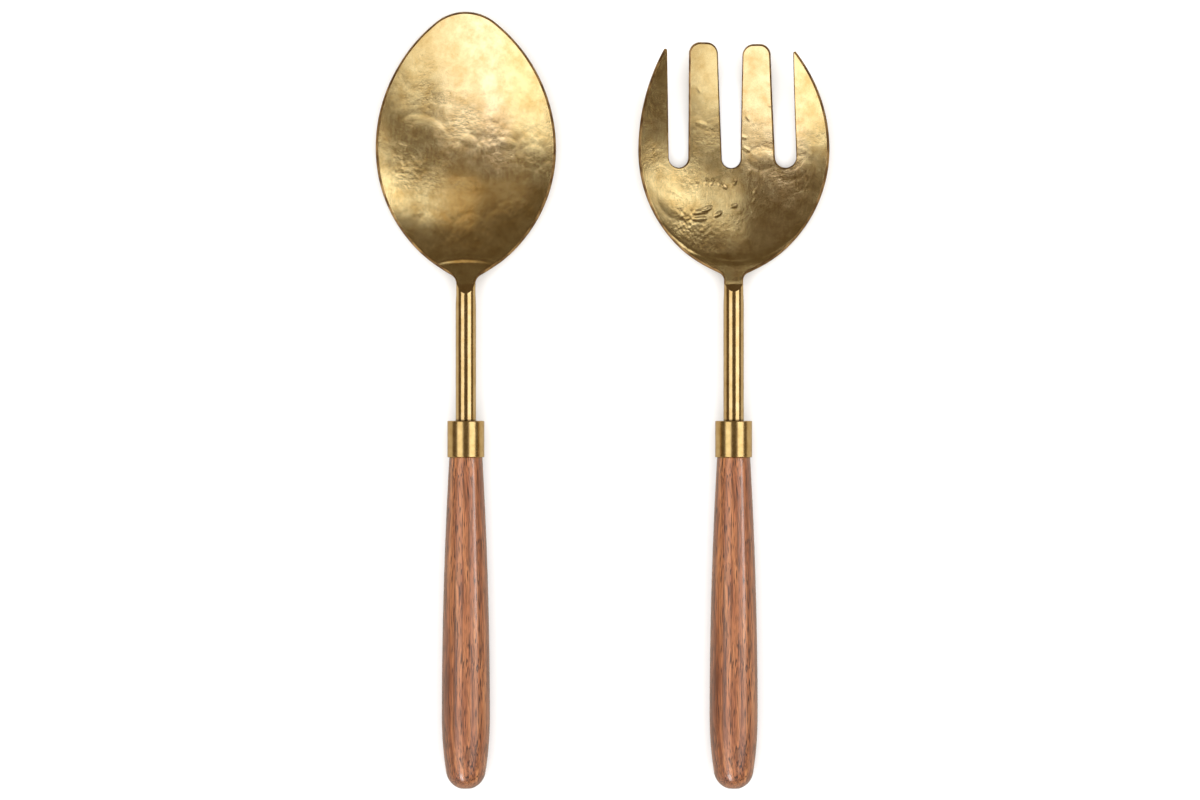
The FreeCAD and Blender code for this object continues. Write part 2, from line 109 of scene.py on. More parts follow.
class Dish:
    """The underside of a dished sheet. A cross arc rides square to a spine of straight and round stretches.
    Along a round stretch the sine of the spine's slope changes evenly, so a few knots give it everywhere."""

    def __init__(self, length, cross, knots, sines):
        self.cross, self.knots, self.sines = cross, knots, sines
        self.along = np.linspace(-5, length + 10, 4000)
        slope = np.tan(np.arcsin(self.sine(self.along)))
        rise = np.concatenate([[0], np.cumsum((slope[1:] + slope[:-1]) / 2 * np.diff(self.along))])
        self.height = rise - rise.min()

    def sine(self, along):
        return np.interp(along, self.knots, self.sines)

    def at(self, plan):
        """The points of the underside over plan points, and its upward normals."""
        x, y = plan[..., 0], plan[..., 1]
        sagitta = self.cross - np.sqrt(self.cross**2 - x**2)
        along = y
        for _ in range(25):
            along = y + sagitta * self.sine(along)
        sine = self.sine(along)
        cosine, lean = np.sqrt(1 - sine**2), np.sqrt(1 - (x / self.cross) ** 2)
        height = np.interp(along, self.along, self.height)
        points = np.stack([x, y, height + sagitta * cosine], axis=-1)
        return points, np.stack([-x / self.cross, -lean * sine, lean * cosine], axis=-1)


def swell(plan, seed, longest, shortest, height):
    """Slow waves left by dishing: eight sine waves that cross at random, from 0 up to height."""
    random = np.random.default_rng(seed)
    total = np.zeros(plan.shape[:-1])
    for _ in range(8):
        turn, phase = random.uniform(0, 2 * math.pi, 2)
        wave = 2 * math.pi / random.uniform(shortest, longest)
        total += np.sin(wave * (plan[..., 0] * math.cos(turn) + plan[..., 1] * math.sin(turn)) + phase)
    return height * (0.5 + total / 16)


def dents(plan, marks):
    """Hammer marks: each is a shallow oval cup (x, y, length, width, turn, depth). It is deepest at its
    middle and falls off with the square of the distance, to a crisp edge with a faint raised lip round it."""
    total = np.zeros(plan.shape[:-1])
    for x, y, length, width, turn, depth in marks:
        cos, sin = math.cos(math.radians(turn)), math.sin(math.radians(turn))
        dx, dy = plan[..., 0] - x, plan[..., 1] - y
        spot = ((dx * cos + dy * sin) / length * 2) ** 2 + ((dy * cos - dx * sin) / width * 2) ** 2
        lip = np.exp(-(((np.sqrt(spot) - 1.05) / 0.16) ** 2))
        total += depth * (0.12 * lip - np.clip(1 - spot, 0, None))
    return total


def crinkles(plan, seed, patches):
    """Patches (x, y, radius, height) where a chipped hammer face has crinkled the sheet: thirty short sine
    waves cross at random, are sharpened to ridges, and fade out from each patch's middle."""
    random = np.random.default_rng(seed)
    waves = np.zeros(plan.shape[:-1])
    for _ in range(30):
        turn, phase = random.uniform(0, 2 * math.pi, 2)
        wave = 2 * math.pi / random.uniform(1.0, 3.4)
        waves += np.sin(wave * (plan[..., 0] * math.cos(turn) + plan[..., 1] * math.sin(turn)) + phase)
    ridges = np.tanh(waves / 4)
    total = np.zeros(plan.shape[:-1])
    for x, y, radius, height in patches:
        far = ((plan[..., 0] - x) ** 2 + (plan[..., 1] - y) ** 2) / radius**2
        total += height * np.exp(-far) * ridges
    return total


def crease_lip(plan, at, arch, height, width):
    """The crease's lip: a low ridge with a bell's section, bent into a parabola across the head."""
    return height * np.exp(-(((plan[..., 1] - at - arch * plan[..., 0] ** 2) / width) ** 2))


def planishing(seed, count, width, length, depth):
    """Marks of the planishing hammer, at random over a head."""
    random = np.random.default_rng(seed)
    across, along = random.uniform(-width / 2, width / 2, count), random.uniform(8, length, count)
    size, turn = random.uniform(5, 13, count), random.uniform(0, 180, count)
    deep = depth * random.uniform(0.3, 1, count)
    return np.stack([across, along, size, size * random.uniform(0.6, 1, count), turn, deep], axis=1)


def head_mesh(name, server, dish, patches, rim, top_relief, under_relief, face, edge):
    """A closed mesh of a dished head. The patches are plan grids that share their edges, and rim is the
    plan line round them, clockwise from the neck's left. The upper face is the underside moved along its
    normals by the sheet's thickness, and a rounded edge of its own material joins the two."""

    def faces(plan):
        """The underside and the upper face over a plan, and the normals. Near the tail the upper face
        slides back along the sheet, so that the tail's end is upright, and the relief fades out."""
        fade = np.clip((plan[..., 1:] - 1) / 6, 0, 1)
        slid = plan.copy()
        slid[..., 1] += SHEET * dish.sines[0] * np.clip(1 - plan[..., 1] / 5, 0, 1)
        points, normals = dish.at(plan)
        above, above_normals = dish.at(slid)
        low = points + under_relief(plan)[..., None] * fade * normals
        return low, above + (SHEET + top_relief(plan)[..., None] * fade) * above_normals, normals

    surfaces = []
    for plan in patches:
        surfaces += faces(plan)[:2]
    low, high, normals = faces(rim)
    travel = np.gradient(low, axis=0)
    outward = np.cross(normals, travel / np.linalg.norm(travel, axis=1, keepdims=True))
    turn = np.radians(np.linspace(0, 90, 6))
    out = np.concatenate([EDGE_ROUND * np.sin(turn), EDGE_ROUND * np.cos(turn)])[:, None]
    share = EDGE_ROUND / SHEET * (1 - np.cos(turn))
    up = np.concatenate([share, 1 - share[::-1]])[:, None]
    surfaces.append(low[:, None] + (high - low)[:, None] * up + out * outward[:, None])
    x, _, _, tail = server_origin(server)
    materials = [face] * (len(surfaces) - 1) + [edge]
    return solid(name, server, [surface + (x, tail, 0) for surface in surfaces], materials)


def solid(name, server, surfaces, materials):
    """One closed, smooth mesh from grids of points in mm: their shared edges are welded, holes are closed
    and the faces turned outwards. Each surface has a material. The piece rides on its server's body."""
    points = np.concatenate([s.reshape(-1, 3) for s in surfaces]) * MM
    used = list(dict.fromkeys(materials))
    quads, finishes, first = [], [], 0
    for s, material in zip(surfaces, materials):
        index = first + np.arange(s.shape[0] * s.shape[1]).reshape(s.shape[:2])
        corners = [index[:-1, :-1], index[:-1, 1:], index[1:, 1:], index[1:, :-1]]
        quads.append(np.stack(corners, axis=-1).reshape(-1, 4))
        finishes.append(np.full(len(quads[-1]), used.index(material), dtype=np.int32))
        first += index.size
    mesh = bpy.data.meshes.new(name)
    mesh.from_pydata(points.tolist(), [], np.concatenate(quads).tolist())
    for material in used:
        mesh.materials.append(material)
    mesh.polygons.foreach_set("material_index", np.concatenate(finishes))
    work = bmesh.new()
    work.from_mesh(mesh)
    bmesh.ops.remove_doubles(work, verts=work.verts, dist=0.0008 * MM)
    bmesh.ops.dissolve_degenerate(work, edges=work.edges, dist=0.0002 * MM)
    bmesh.ops.holes_fill(work, edges=[e for e in work.edges if e.is_boundary])
    bmesh.ops.recalc_face_normals(work, faces=work.faces)
    work.to_mesh(mesh)
    work.free()
    mesh.shade_smooth()
    mesh.set_sharp_from_angle(angle=math.radians(50))
    piece = bpy.data.objects.new(name, mesh)
    bpy.context.scene.collection.objects.link(piece)
    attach(piece, server)
    return piece


def linear(code):
    """An sRGB hex colour as the linear values that the shaders take."""
    srgb = np.array([int(code[n : n + 2], 16) for n in (1, 3, 5)]) / 255
    values = np.where(srgb <= 0.04045, srgb / 12.92, ((srgb + 0.055) / 1.055) ** 2.4)
    return (*values.tolist(), 1.0)


def add(material, kind, inputs=(), **settings):
    """One node in a material: settings are its own properties, inputs its sockets' values or their links."""
    made = material.node_tree.nodes.new("ShaderNode" + kind)
    for key, value in settings.items():
        setattr(made, key, value)
    for key, value in dict(inputs).items():
        if isinstance(value, bpy.types.NodeSocket):
            material.node_tree.links.new(value, made.inputs[key])
        else:
            made.inputs[key].default_value = value
    return made


def new_material(name):
    """An empty node material and its output."""
    material = bpy.data.materials.new(name)
    material.use_nodes = True
    material.node_tree.nodes.clear()
    return material, add(material, "OutputMaterial")


def hammered_brass():
    """Yellow brass, planished and scrubbed: satin, so that lights spread in it, with a fine lengthwise grain
    from the scrubbing, and with pits and crinkles in patches where the hammer's face was worn."""
    material, output = new_material("hammered_brass")
    place = add(material, "TexCoord")
    mm = add(material, "Mapping", {"Vector": place.outputs["Object"], "Scale": (1000, 1000, 1000)})
    cloud = add(material, "TexNoise", {"Vector": mm.outputs[0], "Scale": 1 / 13, "Detail": 3})
    patch = add(material, "MapRange", {"Value": cloud.outputs[0], "From Min": 0.5, "From Max": 0.64})
    crinkle = add(
        material, "TexNoise", {"Vector": mm.outputs[0], "Scale": 1 / 1.2, "Detail": 3, "Roughness": 0.62}
    )
    crinkled = add(material, "Math", {0: crinkle.outputs[0], 1: patch.outputs[0]}, operation="MULTIPLY")
    grain = add(material, "TexNoise", {"Vector": mm.outputs[0], "Scale": 1 / 0.5, "Detail": 2})
    lengthwise = add(material, "Mapping", {"Vector": mm.outputs[0], "Scale": (1, 0.12, 1)})
    scrub = add(material, "TexNoise", {"Vector": lengthwise.outputs[0], "Scale": 1 / 0.5, "Detail": 2})
    fine = add(material, "Math", {0: grain.outputs[0], 1: scrub.outputs[0]}, operation="ADD")
    rough = add(material, "MapRange", {"Value": fine.outputs[0], "From Min": 0.7, "From Max": 1.3,
                                       "To Min": 0.17, "To Max": 0.27})
    tarnish = add(
        material, "TexNoise", {"Vector": mm.outputs[0], "Scale": 1 / 6, "Detail": 6, "Roughness": 0.65}
    )
    tone = add(material, "ValToRGB", {"Fac": tarnish.outputs[0]})
    tone.color_ramp.elements[0].position, tone.color_ramp.elements[1].position = 0.32, 0.62
    tone.color_ramp.elements[0].color = linear("#dab977")
    tone.color_ramp.elements[1].color = linear("#f4dca0")
    bump = add(material, "Bump", {"Height": crinkled.outputs[0], "Strength": 0.6, "Distance": 0.12 * MM})
    pits = add(material, "Bump", {"Height": fine.outputs[0], "Strength": 0.35, "Distance": 0.02 * MM,
                                  "Normal": bump.outputs[0]})
    metal = add(
        material, "BsdfPrincipled",
        {"Base Color": tone.outputs[0], "Metallic": 1.0, "Roughness": rough.outputs[0],
         "Normal": pits.outputs[0]},
    )
    material.node_tree.links.new(metal.outputs[0], output.inputs[0])
    return material


def cut_edge():
    """The sheet's sawn and filed edge: the same brass, duller, and darker and browner in blotches, partly its
    own oxide and partly painted shade for the shaded paper that it mirrors under the rim.
    """
    material, output = new_material("filed_brass_edge")
    place = add(material, "TexCoord")
    mm = add(material, "Mapping", {"Vector": place.outputs["Object"], "Scale": (1000, 1000, 1000)})
    worn = add(material, "TexNoise", {"Vector": mm.outputs[0], "Scale": 1 / 5, "Detail": 4})
    tone = add(material, "ValToRGB", {"Fac": worn.outputs[0]})
    tone.color_ramp.elements[0].position, tone.color_ramp.elements[1].position = 0.4, 0.64
    # The darker brown stands partly for the filed edge's own oxide and partly for painted shade: the shaded
    # paper under the rim that the edge mirrors.
    tone.color_ramp.elements[0].color = linear("#7a5c38")
    tone.color_ramp.elements[1].color = linear("#c09a62")
    file_marks = add(material, "TexNoise", {"Vector": mm.outputs[0], "Scale": 1 / 0.3, "Detail": 2})
    bump = add(material, "Bump", {"Height": file_marks.outputs[0], "Strength": 0.4, "Distance": 0.03 * MM})
    metal = add(
        material, "BsdfPrincipled",
        {"Base Color": tone.outputs[0], "Metallic": 1.0, "Roughness": 0.34, "Normal": bump.outputs[0]},
    )
    material.node_tree.links.new(metal.outputs[0], output.inputs[0])
    return material


SPOON_LENGTH, SPOON_WIDTH, SPOON_WIDEST_AT = 107.0, 71.6, 53.3
SPOON_TIP_RADIUS, SPOON_SIDE_RADIUS, SPOON_FILLET = 19.0, 56.5, 4.0

spoon_dish = Dish(SPOON_LENGTH, 75.0, (6.0, 8.33, 42.54, 107.0), (-0.4695, -0.311, 0.0, 0.403))


def spoon_plan():
    """The spoon's plan as one grid. Its top edge is the tip's arc, and its sides are the rest of the oval."""
    half, run = SPOON_WIDTH / 2, SPOON_LENGTH - SPOON_TIP_RADIUS - SPOON_WIDEST_AT
    toe = (run**2 + half**2 - SPOON_TIP_RADIUS**2) / (2 * (half - SPOON_TIP_RADIUS))
    meet = math.degrees(math.asin(run / (toe - SPOON_TIP_RADIUS)))
    heel = neck_and_heel(SPOON_WIDTH, SPOON_WIDEST_AT, SPOON_SIDE_RADIUS, SPOON_FILLET, EDGE_ROUND)
    upper = arc((half - toe, SPOON_WIDEST_AT), toe - EDGE_ROUND, 0, meet)
    rows, columns = round(SPOON_LENGTH * 1.1 / GRID), round(SPOON_WIDTH / GRID)
    right = spread(np.concatenate([heel, upper[1:]]), rows)
    tip = arc((0, SPOON_LENGTH - SPOON_TIP_RADIUS), SPOON_TIP_RADIUS - EDGE_ROUND, 180 - meet, meet, columns)
    neck = spread(np.array([mirrored(right[0]), right[0]]), columns)
    return coons(neck, tip, mirrored(right), right)


plan = spoon_plan()
rim = np.concatenate([plan[:, 0], plan[-1, 1:], plan[-2::-1, -1]])
SPOON_MARKS = [
    (-9.5, 50.6, 7.2, 7.0, 20, 0.045),
    (-18.5, 52.6, 9.5, 8.5, -20, 0.051),
    (27.0, 50.5, 10.5, 10.0, 0, 0.076),
    (18.5, 29.5, 15.0, 8.0, 15, 0.064),
    (13.8, 24.0, 12.6, 11.0, 0, 0.076),
    (-17.0, 61.5, 19.0, 11.0, -18, 0.102),
    (-24.5, 50.0, 12.0, 9.0, -20, 0.064),
    (-13.0, 22.0, 15.0, 13.0, 30, 0.089),
    (2.0, 22.0, 14.0, 12.0, 0, 0.064),
    (8.0, 54.5, 9.0, 6.0, 10, 0.057),
    (16.0, 56.0, 9.0, 5.0, -10, 0.051),
    (1.0, 57.0, 8.0, 5.0, -20, 0.051),
    (5.5, 97.5, 6.5, 3.0, 60, 0.045),
    (11.0, 94.5, 10.0, 3.5, -28, 0.045),
    (-3.0, 75.0, 9.0, 7.0, 40, 0.032),
    (24.0, 72.0, 10.0, 9.0, 0, 0.032),
]
SPOON_CRINKLES = [
    (-26.0, 46.5, 5.0, 0.019),
    (-19.0, 44.5, 4.5, 0.017),
    (-9.5, 50.6, 3.5, 0.017),
    (2.5, 97.0, 3.5, 0.015),
    (-6.0, 89.0, 5.0, 0.01),
    (9.0, 56.0, 5.0, 0.013),
    (27.0, 58.0, 4.0, 0.01),
    (26.5, 45.0, 5.0, 0.01),
    (-10.0, 29.0, 5.0, 0.011),
    (14.0, 21.0, 5.0, 0.008),
]
planish = planishing(3, 60, SPOON_WIDTH, SPOON_LENGTH, 0.035)


def spoon_top(plan):
    marks = dents(plan, SPOON_MARKS) + dents(plan, planish) + crinkles(plan, 31, SPOON_CRINKLES)
    return swell(plan, 11, 60, 22, 0.6) + marks + crease_lip(plan, 9.4, -0.012, 0.3, 1.25)


def spoon_under(plan):
    return swell(plan, 11, 60, 22, 0.6)


brass_face, brass_edge = hammered_brass(), cut_edge()
spoon_head = head_mesh(
    "spoon_bowl", "spoon", spoon_dish, [plan], rim, spoon_top, spoon_under, brass_face, brass_edge
)
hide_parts("spoon_head")


# ---------------------------------------------------------------------------------------------------------
# The fork's head: the same sheet and the same hammering. Three tapered slots with round ends are pierced in
# it, so that it has two blunt tines in the middle and two pointed ones outside.
# ---------------------------------------------------------------------------------------------------------

FORK_LENGTH, FORK_WIDTH, FORK_WIDEST_AT = 95.2, 75.8, 52.5
FORK_SIDE_RADIUS, FORK_FILLET = 52.5, 3.3
FORK_TOE = {-1: 82.0, 1: 63.0}  # the outline's radius above the widest point, on each side
OUTER_TIP_AT = 91.7
SLOT_ROOT_AT = 46.1
SLOTS = [  # middle and width at the root, middle and width at the outer tips
    (-21.9, 8.1, -22.2, 8.9),
    (-0.7, 7.6, -1.4, 9.9),
    (21.0, 8.5, 19.1, 9.0),
]
TINE_ENDS = (FORK_LENGTH, FORK_LENGTH - 0.7)
TINE_CORNER = 4.4
TIP_ROUND = 0.08  # half the width of an outer tine's tip, inside its rounded edge

fork_dish = Dish(FORK_LENGTH, 72.0, (6.0, 12.139, 42.41, 110.0), (-0.5592, -0.1916, 0.0, 0.4506))


def slot_side(slot, side, y):
    """How far across a slot's side is at a height: straight from its root to the outer tips, moved into
    the metal by the edge's rounding."""
    root, root_width, mouth, mouth_width = slot
    start = SLOT_ROOT_AT + root_width / 2
    low, high = root + side * root_width / 2, mouth + side * mouth_width / 2
    return low + (high - low) * (y - start) / (OUTER_TIP_AT - start) + side * EDGE_ROUND


def slot_edge(slot, side, top):
    """A slot's edge as a tine's side: up the last eighth of the round root, then straight to the top."""
    centre = (slot[0], SLOT_ROOT_AT + slot[1] / 2)
    bottom, level = (315, 360) if side > 0 else (225, 180)
    root = arc(centre, slot[1] / 2 + EDGE_ROUND, bottom, level)
    heights = np.linspace(centre[1] + 0.2, top, 200)
    return np.concatenate([root, np.stack([slot_side(slot, side, heights), heights], axis=1)])


def fork_plan():
    """The fork's plan as five grids: the palm, up to a line across the slots' roots, and the four tines.
    Also the line round them all, clockwise from the neck's left."""
    heel = neck_and_heel(FORK_WIDTH, FORK_WIDEST_AT, FORK_SIDE_RADIUS, FORK_FILLET, EDGE_ROUND)
    palm_sides, outer_edges = {}, {}
    for side, slot in ((-1, SLOTS[0]), (1, SLOTS[2])):
        base = SLOT_ROOT_AT + slot[1] / 2 - (slot[1] / 2 + EDGE_ROUND) * math.sin(math.pi / 4)
        toe = arc((FORK_WIDTH / 2 - FORK_TOE[side], FORK_WIDEST_AT), FORK_TOE[side] - EDGE_ROUND, 0, 50, 400)
        edge = np.concatenate([heel, toe[1:]])
        gap = edge[:, 0] - side * slot_side(slot, side, edge[:, 1])
        above = edge[:, 1] > FORK_WIDEST_AT
        tip_at = np.interp(-2 * TIP_ROUND, -gap[above], edge[above, 1])
        at_base, at_tip = ((np.interp(y, edge[:, 1], edge[:, 0]), y) for y in (base, tip_at))
        lower, upper = edge[edge[:, 1] < base], edge[(edge[:, 1] > base) & (edge[:, 1] < tip_at)]
        palm_sides[side] = np.concatenate([lower, [at_base]]) * (side, 1)
        outer_edges[side] = np.concatenate([[at_base], upper, [at_tip]]) * (side, 1)
    tines = []
    for number in range(4):
        left_slot = SLOTS[number - 1] if number > 0 else None
        right_slot = SLOTS[number] if number < 3 else None
        if number in (1, 2):
            top = TINE_ENDS[number - 1] - EDGE_ROUND
            bend, corner = top - TINE_CORNER + EDGE_ROUND, TINE_CORNER - EDGE_ROUND
            left, right = slot_edge(left_slot, 1, bend), slot_edge(right_slot, -1, bend)
            middles = (left[-1] + (corner, 0), right[-1] - (corner, 0))
            left = np.concatenate([left, arc(middles[0], corner, 180, 135, 40)[1:]])
            right = np.concatenate([right, arc(middles[1], corner, 0, 45, 40)[1:]])
            end = np.concatenate([arc(middles[0], corner, 135, 90, 40), arc(middles[1], corner, 90, 45, 40)])
        else:
            side = -1 if number == 0 else 1
            outer = outer_edges[side]
            inner = slot_edge(right_slot or left_slot, side, outer[-1, 1])
            inner[-1] = outer[-1] - (side * 2 * TIP_ROUND, 0)
            left, right = (outer, inner) if side < 0 else (inner, outer)
            end = arc((left[-1] + right[-1]) / 2, TIP_ROUND, 180, 0, 60)
        tines.append((left, right, end))
    columns = [round(w / GRID) for w in (12.5, 14.0, 14.5, 13.5)]
    rows = round((FORK_LENGTH - SLOT_ROOT_AT) / GRID)
    line, grids = [], []
    for number, (left, right, end) in enumerate(tines):
        base = spread(np.array([left[0], right[0]]), columns[number])
        grids.append(coons(base, spread(end, columns[number]), spread(left, rows), spread(right, rows)))
        line.append(base if number == 0 else base[1:])
        if number < 3:
            slot = SLOTS[number]
            centre = (slot[0], SLOT_ROOT_AT + slot[1] / 2)
            line.append(arc(centre, slot[1] / 2 + EDGE_ROUND, 225, 315, round(slot[1] / GRID))[1:])
    root_line = np.concatenate(line)
    palm_rows = round(SLOT_ROOT_AT * 1.3 / GRID)
    left, right = spread(palm_sides[-1], palm_rows), spread(palm_sides[1], palm_rows)
    neck = spread(np.array([left[0], right[0]]), len(root_line))
    palm = coons(neck, root_line, left, right)
    loop, column = [palm[:, 0]], 0
    for number, grid in enumerate(grids):
        loop += [grid[1:, 0], grid[-1, 1:], grid[-2::-1, -1]]
        column += columns[number] - 1
        if number < 3:
            bottom = round(SLOTS[number][1] / GRID) - 1
            loop.append(palm[-1, column + 1 : column + bottom + 1])
            column += bottom
    loop.append(palm[-2::-1, -1])
    return [palm] + grids, np.concatenate(loop)


patches, rim = fork_plan()
FORK_MARKS = [
    (-14.5, 39.5, 2.2, 1.3, 80, 0.12),
    (-10.8, 40.6, 3.4, 1.5, 80, 0.153),
    (-8.4, 40.4, 3.4, 1.5, 75, 0.153),
    (-5.4, 39.8, 2.8, 1.2, 110, 0.153),
    (-3.6, 38.6, 3.6, 1.4, 140, 0.153),
    (0.6, 40.4, 3.2, 1.8, 70, 0.135),
    (6.3, 44.5, 3.0, 1.2, 70, 0.068),
    (9.0, 37.0, 3.4, 1.3, 70, 0.102),
    (8.8, 33.5, 3.0, 1.2, 60, 0.057),
    (-13.0, 28.6, 7.5, 2.6, 12, 0.168),
    (-10.5, 29.8, 5.0, 2.2, 20, 0.168),
    (-13.5, 25.8, 6.5, 2.4, 5, 0.153),
    (-6.0, 27.6, 4.0, 2.0, 35, 0.168),
    (0.4, 30.8, 3.2, 1.5, 10, 0.153),
    (-14.0, 77.0, 3.6, 1.3, 125, 0.068),
    (-12.8, 63.5, 5.5, 2.6, -15, 0.08),
    (6.0, 66.0, 3.6, 1.5, 120, 0.08),
    (4.2, 58.4, 3.6, 1.8, -20, 0.09),
    (5.4, 53.6, 4.0, 1.8, -30, 0.09),
    (14.2, 79.5, 2.8, 1.4, -35, 0.08),
    (14.8, 70.8, 2.8, 1.4, -30, 0.08),
    (-24.0, 31.0, 16.0, 9.0, -40, 0.112),
    (12.0, 50.0, 12.0, 9.0, 0, 0.08),
    (24.0, 46.0, 13.0, 9.0, 20, 0.09),
]
FORK_CRINKLES = [
    (-20.0, 30.5, 6.0, 0.015),
    (-15.0, 24.0, 6.0, 0.017),
    (-22.0, 23.0, 5.0, 0.015),
    (-12.0, 17.5, 6.0, 0.015),
    (-6.0, 24.0, 4.0, 0.011),
    (3.5, 24.0, 3.6, 0.014),
    (9.0, 49.0, 5.0, 0.011),
    (26.0, 52.0, 6.0, 0.011),
    (-28.0, 54.0, 5.0, 0.009),
    (20.0, 45.0, 5.0, 0.009),
    (1.0, 51.0, 5.0, 0.006),
]
fork_planish = planishing(5, 60, FORK_WIDTH, FORK_LENGTH, 0.035)


def fork_top(plan):
    marks = dents(plan, FORK_MARKS) + dents(plan, fork_planish) + crinkles(plan, 41, FORK_CRINKLES)
    return swell(plan, 21, 60, 22, 0.5) + marks + crease_lip(plan, 8.0, 0.018, 0.12, 0.9)


def fork_under(plan):
    return swell(plan, 21, 60, 22, 0.5)


fork_head = head_mesh(
    "fork_dish", "fork", fork_dish, patches, rim, fork_top, fork_under, brass_face, brass_edge
)
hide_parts("fork_head")


# ---------------------------------------------------------------------------------------------------------
# The stems: 8 mm drawn brass rod. The upper end is sawn to a slanting seat for the head and filed to a facet
# that runs down to the head's face. The lower end is turned down to a grooved tang inside the handle.
# ---------------------------------------------------------------------------------------------------------

STEM_R, TANG_R, GROOVE_DEPTH = 4.0, 3.0, 0.5
SHOULDER_AT, TAIL_AT, TANG_LENGTH = 142.2, 198.0, 62.0  # from the butt, as are all lengths along a server
FERRULE_CAP = 1.6
SEAT_DROP = 2.0  # from the top of the stem to the face of the head's tail
NECK_TAPER = 5.0
NECK_SLOPE = {"spoon": 28.0, "fork": 34.0}


def stem_mesh(server, material):
    """A stem: x = r cos t, z = r sin t at each place along it, but nowhere above a given height or wider
    than the neck's flanks. Where the height cuts the round, a flat strip closes the top."""
    slope = math.tan(math.radians(NECK_SLOPE[server]))
    seat = STEM_R - SEAT_DROP - SHEET * math.hypot(1, slope)
    end, facet_at = TAIL_AT + (seat + STEM_R) / slope, TAIL_AT - SEAT_DROP / slope
    low = SHOULDER_AT - TANG_LENGTH
    tang = [(low, 0), (low, TANG_R - GROOVE_DEPTH), (low + GROOVE_DEPTH, TANG_R)]
    for groove in range(4):
        near = low + 8 + 12 * groove
        tang += [(near, TANG_R), (near, TANG_R - GROOVE_DEPTH)]
        tang += [(near + 2, TANG_R - GROOVE_DEPTH), (near + 2, TANG_R)]
    tang.append((SHOULDER_AT, TANG_R))
    rod = np.linspace(SHOULDER_AT, facet_at, 40)
    facet = np.linspace(facet_at, TAIL_AT, 60)
    seated = np.linspace(TAIL_AT + 0.01, end, 50)
    along = np.concatenate([np.array(tang)[:, 0], rod, facet[1:], seated])[:, None]
    full_size = np.full(rod.size + facet.size - 1 + seated.size, STEM_R)
    radius = np.concatenate([np.array(tang)[:, 1], full_size])[:, None]
    top = np.where(along > TAIL_AT, seat - (along - TAIL_AT) * slope, STEM_R - (along - facet_at) * slope)
    top = np.where(along <= facet_at, STEM_R, np.clip(top, -STEM_R, STEM_R))
    flank = np.interp(along, (facet_at - NECK_TAPER, facet_at), (STEM_R, NECK_HALF))
    corner = np.arcsin(np.clip(top / np.maximum(radius, 0.001), -1, 1))
    turn = corner - np.linspace(0, 1, 181) * (math.pi + 2 * corner)
    x, z, butt, _ = server_origin(server)
    across = np.clip(radius * np.cos(turn), -flank, flank)
    rounded = np.stack([x + across, butt + along + 0 * turn, z + radius * np.sin(turn)], axis=-1)
    flat = (along >= facet_at)[:, 0]
    span = np.linspace(1, -1, 25) * across[flat, :1]
    strip = np.stack([x + span, butt + along[flat] + 0 * span, z + top[flat] + 0 * span], axis=-1)
    return solid(f"{server}_stem_rod", server, [rounded, strip], [material] * 2)


def drawn_brass():
    """Drawn rod, rubbed with fine paper along its length: it mirrors its surroundings in clean long bands,
    slightly blurred, with a little tarnish."""
    material, output = new_material("drawn_brass")
    place = add(material, "TexCoord")
    mm = add(material, "Mapping", {"Vector": place.outputs["Object"], "Scale": (1000, 1000, 1000)})
    lengthwise = add(material, "Mapping", {"Vector": mm.outputs[0], "Scale": (1, 0.05, 1)})
    lines = add(material, "TexNoise", {"Vector": lengthwise.outputs[0], "Scale": 1 / 0.35, "Detail": 2})
    rough = add(material, "MapRange", {"Value": lines.outputs[0], "To Min": 0.12, "To Max": 0.22})
    tarnish = add(material, "TexNoise", {"Vector": mm.outputs[0], "Scale": 1 / 4, "Detail": 4})
    tone = add(material, "ValToRGB", {"Fac": tarnish.outputs[0]})
    tone.color_ramp.elements[0].position, tone.color_ramp.elements[1].position = 0.3, 0.65
    tone.color_ramp.elements[0].color = linear("#dfbd80")
    tone.color_ramp.elements[1].color = linear("#f2d49c")
    along = add(material, "SeparateXYZ", {"Vector": mm.outputs[0]})
    # Painted shade: the rod turns dark brown over its last 0.9 mm above the ferrule's cap, where the stem
    # meets the cap, and stays dark below it.
    cap = server_origin("spoon")[2] + SHOULDER_AT + FERRULE_CAP + 0.5
    corner = add(material, "MapRange", {"Value": along.outputs["Y"], "From Min": cap, "From Max": cap + 0.9})
    painted_shade_mix = add(material, "Mix", {"Factor": corner.outputs[0], "A": linear("#4a3216"), "B": tone.outputs[0]},
                 data_type="RGBA")
    bump = add(material, "Bump", {"Height": lines.outputs[0], "Strength": 0.3, "Distance": 0.01 * MM})
    metal = add(
        material, "BsdfPrincipled",
        {"Base Color": painted_shade_mix.outputs["Result"], "Metallic": 1.0, "Roughness": rough.outputs[0],
         "Normal": bump.outputs[0]},
    )
    material.node_tree.links.new(metal.outputs[0], output.inputs[0])
    return material


brass_rod = drawn_brass()
for server in ("spoon", "fork"):
    stem = stem_mesh(server, brass_rod)
    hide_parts(f"{server}_stem")


# ---------------------------------------------------------------------------------------------------------
# The ferrules: brass cups turned on a lathe and pushed over the handles' tenons. The cap has a hole for the
# stem, and the edges are rounded off. The tool has left fine rings round them.
# ---------------------------------------------------------------------------------------------------------

HANDLE_LENGTH, TENON_R = 130.0, 5.7
FERRULE_LENGTH, FERRULE_R, FERRULE_FIT = 14.3, 7.25, 0.05


def rounded_run(corners):
    """A run of straight lines (radius, along) with each corner eased by its third number: the corner is
    replaced by a parabola that leaves each line at that distance from it."""
    points = [np.array([corners[0][:2]])]
    for (*before, _), (*here, ease), (*after, _) in zip(corners, corners[1:], corners[2:]):
        here = np.array(here)
        back, on = (np.array(other) - here for other in (before, after))
        back, on = (ease * away / np.linalg.norm(away) for away in (back, on))
        t = np.linspace(0, 1, 7)[:, None] if ease else np.zeros((1, 1))
        points.append(here + back * (1 - t) ** 2 + on * t**2)
    points.append(np.array([corners[-1][:2]]))
    return np.concatenate(points)


